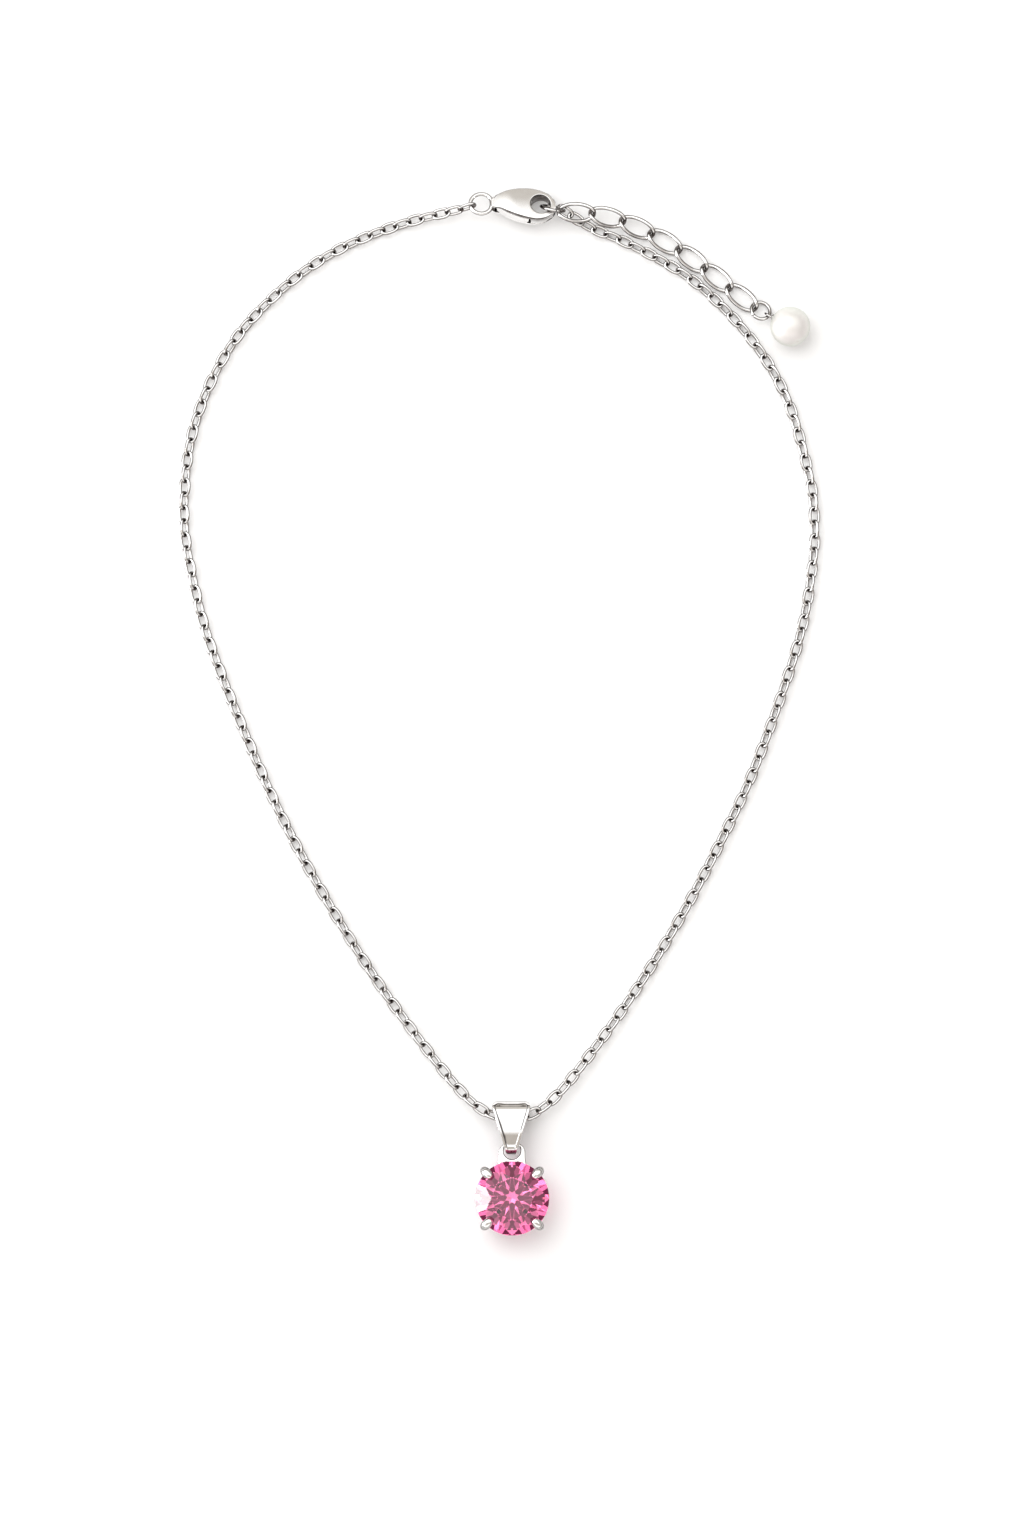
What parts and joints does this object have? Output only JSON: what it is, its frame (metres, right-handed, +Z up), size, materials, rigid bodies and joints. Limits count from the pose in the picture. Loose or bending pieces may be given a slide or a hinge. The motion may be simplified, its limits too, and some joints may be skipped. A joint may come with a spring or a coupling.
{
  "type": "pendant necklace",
  "caption": "Fine cable-chain necklace with a lobster clasp, a curb-link extender ending in a pearl drop, and a prong-set round pink stone on a tapered bail.",
  "frame": {"origin": "middle of the bounding box in plan, on the surface that the necklace lies on", "axes": "+Z up out of the surface, +Y from the pendant to the clasp, +X to the right seen from above"},
  "size_m": [0.1042, 0.1701, 0.0075],
  "materials": {
    "chain_silver": "polished drawn wire, rhodium plated",
    "extender_silver": "polished wire, rhodium plated",
    "clasp_silver": "polished casting, rhodium plated",
    "pendant_silver": "polished casting, rhodium plated",
    "spring_steel": "drawn steel",
    "pearl": "satin nacre",
    "stone": "polished facets"
  },
  "bodies": {
    "centre_run": {"centre_chain_run": "chain_silver"},
    "left_run_1": {"left_chain_run_1": "chain_silver"},
    "left_run_2": {"left_chain_run_2": "chain_silver"},
    "left_run_3": {"left_chain_run_3": "chain_silver"},
    "left_run_4": {"left_chain_run_4": "chain_silver"},
    "left_run_5": {"left_chain_run_5": "chain_silver"},
    "left_run_6": {"left_chain_run_6": "chain_silver"},
    "left_run_7": {"left_chain_run_7": "chain_silver", "left_end_link": "chain_silver"},
    "clasp": {"clasp_body": "clasp_silver", "clasp_pivot_pin": "spring_steel", "clasp_spring": "spring_steel"},
    "lever": {"clasp_lever": "clasp_silver"},
    "right_run_1": {"right_chain_run_1": "chain_silver"},
    "right_run_2": {"right_chain_run_2": "chain_silver"},
    "right_run_3": {"right_chain_run_3": "chain_silver"},
    "right_run_4": {"right_chain_run_4": "chain_silver"},
    "right_run_5": {"right_chain_run_5": "chain_silver"},
    "right_run_6": {"right_chain_run_6": "chain_silver"},
    "right_run_7": {"right_chain_run_7": "chain_silver"},
    "right_run_8": {"right_chain_run_8": "chain_silver", "right_end_link": "chain_silver"},
    "jump_ring": {"jump_ring": "extender_silver"},
    "extender_1": {"extender_link_1": "extender_silver"},
    "extender_2": {"extender_link_2": "extender_silver"},
    "extender_3": {"extender_link_3": "extender_silver"},
    "extender_4": {"extender_link_4": "extender_silver"},
    "extender_5": {"extender_link_5": "extender_silver"},
    "extender_6": {"extender_link_6": "extender_silver"},
    "extender_7": {"extender_link_7": "extender_silver"},
    "end_ring": {"end_ring": "extender_silver"},
    "pearl_pin": {"pearl_pin": "extender_silver"},
    "pearl": {"pearl": "pearl"},
    "bail": {"bail": "pendant_silver"},
    "pendant": {"pendant_loop": "pendant_silver", "upper_rail": "pendant_silver", "base_rail": "pendant_silver", "prong_1": "pendant_silver", "prong_2": "pendant_silver", "prong_3": "pendant_silver", "prong_4": "pendant_silver", "stone": "stone"}
  },
  "joints": [
    {"name": "left_run_1_bend", "type": "hinge", "parent": "centre_run", "child": "left_run_1", "pos_m": [-0.002, -0.06509, 0.00233], "axis": [0, 0, 1], "range_deg": [-1.68, 1.68]},
    {"name": "left_run_2_bend", "type": "hinge", "parent": "left_run_1", "child": "left_run_2", "pos_m": [-0.01888, -0.0451, 0.00091], "axis": [0, 0, 1], "range_deg": [-1.26, 1.26]},
    {"name": "left_run_3_bend", "type": "hinge", "parent": "left_run_2", "child": "left_run_3", "pos_m": [-0.03249, -0.02255, 0.00095], "axis": [0, 0, 1], "range_deg": [-1.1, 1.1]},
    {"name": "left_run_4_bend", "type": "hinge", "parent": "left_run_3", "child": "left_run_4", "pos_m": [-0.04333, 0.00146, 0.00095], "axis": [0, 0, 1], "range_deg": [-1.55, 1.55]},
    {"name": "loop_spread", "type": "hinge", "parent": "left_run_4", "child": "left_run_5", "pos_m": [-0.05077, 0.02667, 0.00095], "axis": [0, 0, 1], "range_deg": [-3.3, 3.3]},
    {"name": "left_run_6_bend", "type": "hinge", "parent": "left_run_5", "child": "left_run_6", "pos_m": [-0.04736, 0.05247, 0.00095], "axis": [0, 0, 1], "range_deg": [-0.56, 0.56]},
    {"name": "left_run_7_bend", "type": "hinge", "parent": "left_run_6", "child": "left_run_7", "pos_m": [-0.03064, 0.07238, 0.00095], "axis": [0, 0, 1], "range_deg": [-3.09, 3.09]},
    {"name": "clasp_swing", "type": "hinge", "parent": "left_run_7", "child": "clasp", "pos_m": [-0.0042, 0.0823, 0.0027], "axis": [0, 0, 1], "range_deg": [-1.71, 1.71]},
    {"name": "clasp_lever_pivot", "type": "hinge", "parent": "clasp", "child": "lever", "pos_m": [0.00018, 0.08202, 0.00265], "axis": [0.0221, 0.422, 0.9063], "range_deg": [0, 14], "stiffness_Nm_per_rad": 0.002, "springref_deg": -5.73},
    {"name": "right_run_1_bend", "type": "hinge", "parent": "centre_run", "child": "right_run_1", "pos_m": [0.0064, -0.06474, 0.00229], "axis": [0, 0, 1], "range_deg": [-0.94, 0.94]},
    {"name": "right_run_2_bend", "type": "hinge", "parent": "right_run_1", "child": "right_run_2", "pos_m": [0.02032, -0.04794, 0.00099], "axis": [0, 0, 1], "range_deg": [-0.84, 0.84]},
    {"name": "right_run_3_bend", "type": "hinge", "parent": "right_run_2", "child": "right_run_3", "pos_m": [0.03177, -0.02921, 0.00095], "axis": [0, 0, 1], "range_deg": [-2.63, 2.63]},
    {"name": "right_run_4_bend", "type": "hinge", "parent": "right_run_3", "child": "right_run_4", "pos_m": [0.04134, -0.00946, 0.00095], "axis": [0, 0, 1], "range_deg": [-3.6, 3.6]},
    {"name": "right_run_5_bend", "type": "hinge", "parent": "right_run_4", "child": "right_run_5", "pos_m": [0.04858, 0.01127, 0.00095], "axis": [0, 0, 1], "range_deg": [-2.08, 2.08]},
    {"name": "right_run_6_bend", "type": "hinge", "parent": "right_run_5", "child": "right_run_6", "pos_m": [0.05115, 0.03298, 0.00095], "axis": [0, 0, 1], "range_deg": [-1.92, 1.92]},
    {"name": "right_run_7_bend", "type": "hinge", "parent": "right_run_6", "child": "right_run_7", "pos_m": [0.04524, 0.05401, 0.00095], "axis": [0, 0, 1], "range_deg": [-0.91, 0.91]},
    {"name": "right_run_8_bend", "type": "hinge", "parent": "right_run_7", "child": "right_run_8", "pos_m": [0.03096, 0.07048, 0.00095], "axis": [0, 0, 1], "range_deg": [-1.09, 1.09]},
    {"name": "jump_ring_swing", "type": "hinge", "parent": "right_run_8", "child": "jump_ring", "pos_m": [0.0098, 0.0819, 0.00155], "axis": [0, 0, 1], "range_deg": [0, 6]},
    {"name": "extender_1_swing", "type": "hinge", "parent": "jump_ring", "child": "extender_1", "pos_m": [0.00995, 0.0812, 0.003], "axis": [0, 0, 1], "range_deg": [0, 25]},
    {"name": "extender_2_swing", "type": "hinge", "parent": "extender_1", "child": "extender_2", "pos_m": [0.01509, 0.08093, 0.00275], "axis": [0, 0, 1], "range_deg": [0, 25]},
    {"name": "extender_3_swing", "type": "hinge", "parent": "extender_2", "child": "extender_3", "pos_m": [0.02002, 0.0797, 0.0019], "axis": [0, 0, 1], "range_deg": [0, 25]},
    {"name": "extender_4_swing", "type": "hinge", "parent": "extender_3", "child": "extender_4", "pos_m": [0.02468, 0.07767, 0.0011], "axis": [0, 0, 1], "range_deg": [0, 25]},
    {"name": "extender_5_swing", "type": "hinge", "parent": "extender_4", "child": "extender_5", "pos_m": [0.02914, 0.0751, 0.00095], "axis": [0, 0, 1], "range_deg": [0, 25]},
    {"name": "extender_6_swing", "type": "hinge", "parent": "extender_5", "child": "extender_6", "pos_m": [0.03333, 0.07211, 0.00095], "axis": [0, 0, 1], "range_deg": [0, 25]},
    {"name": "extender_7_swing", "type": "hinge", "parent": "extender_6", "child": "extender_7", "pos_m": [0.03736, 0.0689, 0.00095], "axis": [0, 0, 1], "range_deg": [0, 25]},
    {"name": "end_ring_swing", "type": "hinge", "parent": "extender_7", "child": "end_ring", "pos_m": [0.04142, 0.06573, 0.0011], "axis": [0, 0, 1], "range_deg": [0, 25]},
    {"name": "pearl_drop_swing", "type": "hinge", "parent": "end_ring", "child": "pearl_pin", "pos_m": [0.04382, 0.06445, 0.0011], "axis": [0, 0, 1], "range_deg": [-15, 20]},
    {"name": "pearl_spin", "type": "hinge", "parent": "pearl_pin", "child": "pearl", "pos_m": [0.04723, 0.06256, 0.00325], "axis": [0.7663, -0.4248, 0.4821], "continuous": true},
    {"name": "bail_lift", "type": "hinge", "parent": "centre_run", "child": "bail", "pos_m": [0.00195, -0.0653, 0.00235], "axis": [-1, 0, 0], "range_deg": [0, 85]},
    {"name": "pendant_lift", "type": "hinge", "parent": "bail", "child": "pendant", "pos_m": [0.0021, -0.06953, 0.003], "axis": [-1, 0, 0], "range_deg": [0, 35]}
  ],
  "couplings": [
    {"joint": "left_run_1_bend", "follows": "loop_spread", "ratio": -0.5039},
    {"joint": "left_run_2_bend", "follows": "loop_spread", "ratio": -0.378},
    {"joint": "left_run_3_bend", "follows": "loop_spread", "ratio": 0.3273},
    {"joint": "left_run_4_bend", "follows": "loop_spread", "ratio": 0.4661},
    {"joint": "left_run_6_bend", "follows": "loop_spread", "ratio": 0.1644},
    {"joint": "left_run_7_bend", "follows": "loop_spread", "ratio": -0.9331},
    {"joint": "clasp_swing", "follows": "loop_spread", "ratio": -0.5145},
    {"joint": "right_run_1_bend", "follows": "loop_spread", "ratio": 0.2806},
    {"joint": "right_run_2_bend", "follows": "loop_spread", "ratio": 0.2488},
    {"joint": "right_run_3_bend", "follows": "loop_spread", "ratio": 0.792},
    {"joint": "right_run_4_bend", "follows": "loop_spread", "ratio": -1.087},
    {"joint": "right_run_5_bend", "follows": "loop_spread", "ratio": -0.625},
    {"joint": "right_run_6_bend", "follows": "loop_spread", "ratio": -0.5785},
    {"joint": "right_run_7_bend", "follows": "loop_spread", "ratio": 0.2723},
    {"joint": "right_run_8_bend", "follows": "loop_spread", "ratio": 0.3253}
  ]
}
